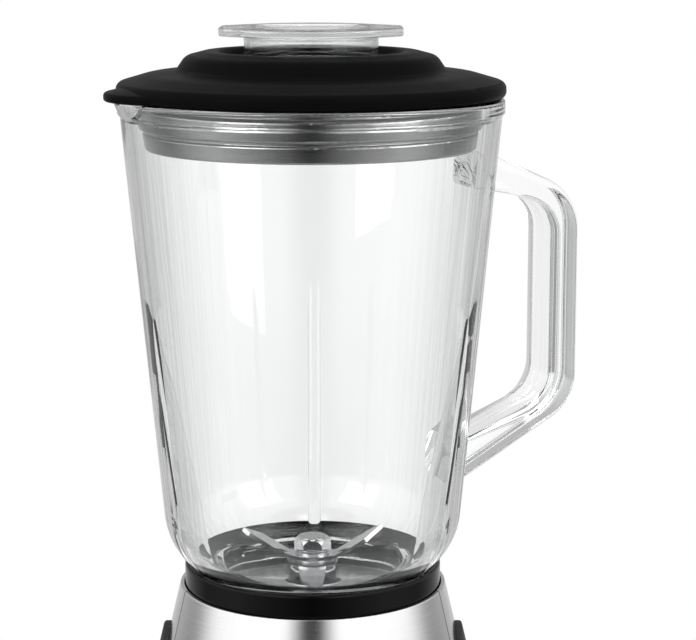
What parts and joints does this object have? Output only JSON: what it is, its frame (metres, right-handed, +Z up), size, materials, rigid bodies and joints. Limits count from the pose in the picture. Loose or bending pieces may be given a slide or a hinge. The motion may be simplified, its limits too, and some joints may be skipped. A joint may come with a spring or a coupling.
{
  "type": "countertop blender",
  "caption": "Countertop blender: glass jar with handle and ribs, domed lid with a clear measuring cap, and a flared steel base with a speed dial, a motor and a coupling that turns the blades.",
  "frame": {"origin": "On the drive axis, at the table that the feet stand on.", "axes": "+Z is up along the drive axis, -Y is the front with the dial, +X is to the right seen from the front."},
  "size_m": [0.1882, 0.1824, 0.3769],
  "materials": {
    "lid_black": "satin moulded plastic",
    "seal_grey": "satin silicone",
    "cap_clear": "clear moulded plastic",
    "jar_glass": "clear pressed glass",
    "collar_black": "glossy moulded plastic",
    "skin_steel": "brushed round the cone",
    "grip_black": "fine grained soft-touch plastic",
    "housing_black": "satin moulded plastic",
    "foot_rubber": "matt rubber",
    "screw_steel": "zinc plated",
    "bezel_black": "satin moulded plastic",
    "ring_chrome": "polished",
    "knob_black": "satin moulded plastic",
    "pointer_white": "moulded inlay",
    "blade_steel": "ground stainless steel",
    "bush_bronze": "sintered bronze",
    "coupling_black": "moulded nylon",
    "core_iron": "laminated electrical steel",
    "winding_copper": "enamelled copper wire",
    "shaft_steel": "ground steel",
    "fan_plastic": "moulded nylon",
    "bracket_metal": "die cast",
    "brush_carbon": "pressed carbon",
    "switch_plastic": "moulded plastic",
    "terminal_pale": "moulded plastic"
  },
  "bodies": {
    "base": {"motor_housing": "housing_black", "jar_seat": "housing_black", "front_panel": "skin_steel", "rear_panel": "skin_steel", "left_strip": "skin_steel", "right_strip": "skin_steel", "left_grip": "grip_black", "right_grip": "grip_black", "base_plate": "housing_black", "base_screws": "screw_steel", "rubber_feet": "foot_rubber", "cord_gland": "foot_rubber", "control_bezel": "bezel_black", "bezel_ring": "ring_chrome", "rotary_switch": "switch_plastic", "switch_nut": "screw_steel", "interlock_switch": "switch_plastic", "terminal_block": "terminal_pale", "stator_core": "core_iron", "field_coils": "winding_copper", "upper_bearing": "shaft_steel", "lower_bearing": "shaft_steel", "upper_bracket": "bracket_metal", "lower_bracket": "bracket_metal", "motor_bolts": "screw_steel", "motor_nuts": "screw_steel", "motor_grommets": "foot_rubber", "bracket_screws": "screw_steel", "brush_holders": "bush_bronze", "carbon_brushes": "brush_carbon"},
    "rotor": {"armature_core": "core_iron", "armature_winding": "winding_copper", "commutator": "winding_copper", "motor_shaft": "shaft_steel", "cooling_fan": "fan_plastic", "drive_coupling": "coupling_black"},
    "knob": {"speed_knob": "knob_black", "knob_pointer": "pointer_white", "knob_shaft": "shaft_steel"},
    "pin": {"interlock_pin": "pointer_white"},
    "jar_base": {"collar": "collar_black", "jar_seal": "foot_rubber", "blade_carrier": "blade_steel", "spindle_bushes": "bush_bronze", "spindle_seal": "foot_rubber"},
    "blades": {"lower_blade": "blade_steel", "upper_blade": "blade_steel", "blade_spindle": "shaft_steel", "blade_spacers": "shaft_steel", "blade_nut": "blade_steel", "driven_coupling": "coupling_black"},
    "jar": {"glass_jar": "jar_glass"},
    "lid": {"lid": "lid_black", "lid_seal": "seal_grey"},
    "cap": {"measuring_cap": "cap_clear"}
  },
  "joints": [
    {"name": "motor_spin", "type": "hinge", "parent": "base", "child": "rotor", "pos_m": [0, 0, 0], "axis": [0, 0, 1], "continuous": true},
    {"name": "knob_turn", "type": "hinge", "parent": "base", "child": "knob", "pos_m": [0, -0.07016, 0.084], "axis": [0, -0.9729, 0.2312], "range_deg": [-135, 45]},
    {"name": "jar_lift", "type": "slide", "parent": "base", "child": "jar_base", "axis": [0, 0, 1], "range_m": [0, 0.06]},
    {"name": "interlock_rise", "type": "slide", "parent": "base", "child": "pin", "axis": [0, 0, 1], "range_m": [0, 0.0024]},
    {"name": "blade_spin", "type": "hinge", "parent": "jar_base", "child": "blades", "pos_m": [0, 0, 0.15], "axis": [0, 0, 1], "continuous": true},
    {"name": "jar_twist", "type": "hinge", "parent": "jar_base", "child": "jar", "pos_m": [0, 0, 0.163], "axis": [0, 0, 1], "range_deg": [0, 60]},
    {"name": "lid_lift", "type": "slide", "parent": "jar", "child": "lid", "axis": [0, 0, 1], "range_m": [0, 0.05]},
    {"name": "cap_lift", "type": "slide", "parent": "lid", "child": "cap", "axis": [0, 0, 1], "range_m": [0, 0.05]}
  ],
  "couplings": [
    {"joint": "blade_spin", "follows": "motor_spin", "ratio": 1},
    {"joint": "interlock_rise", "follows": "jar_lift", "ratio": 0.04}
  ]
}
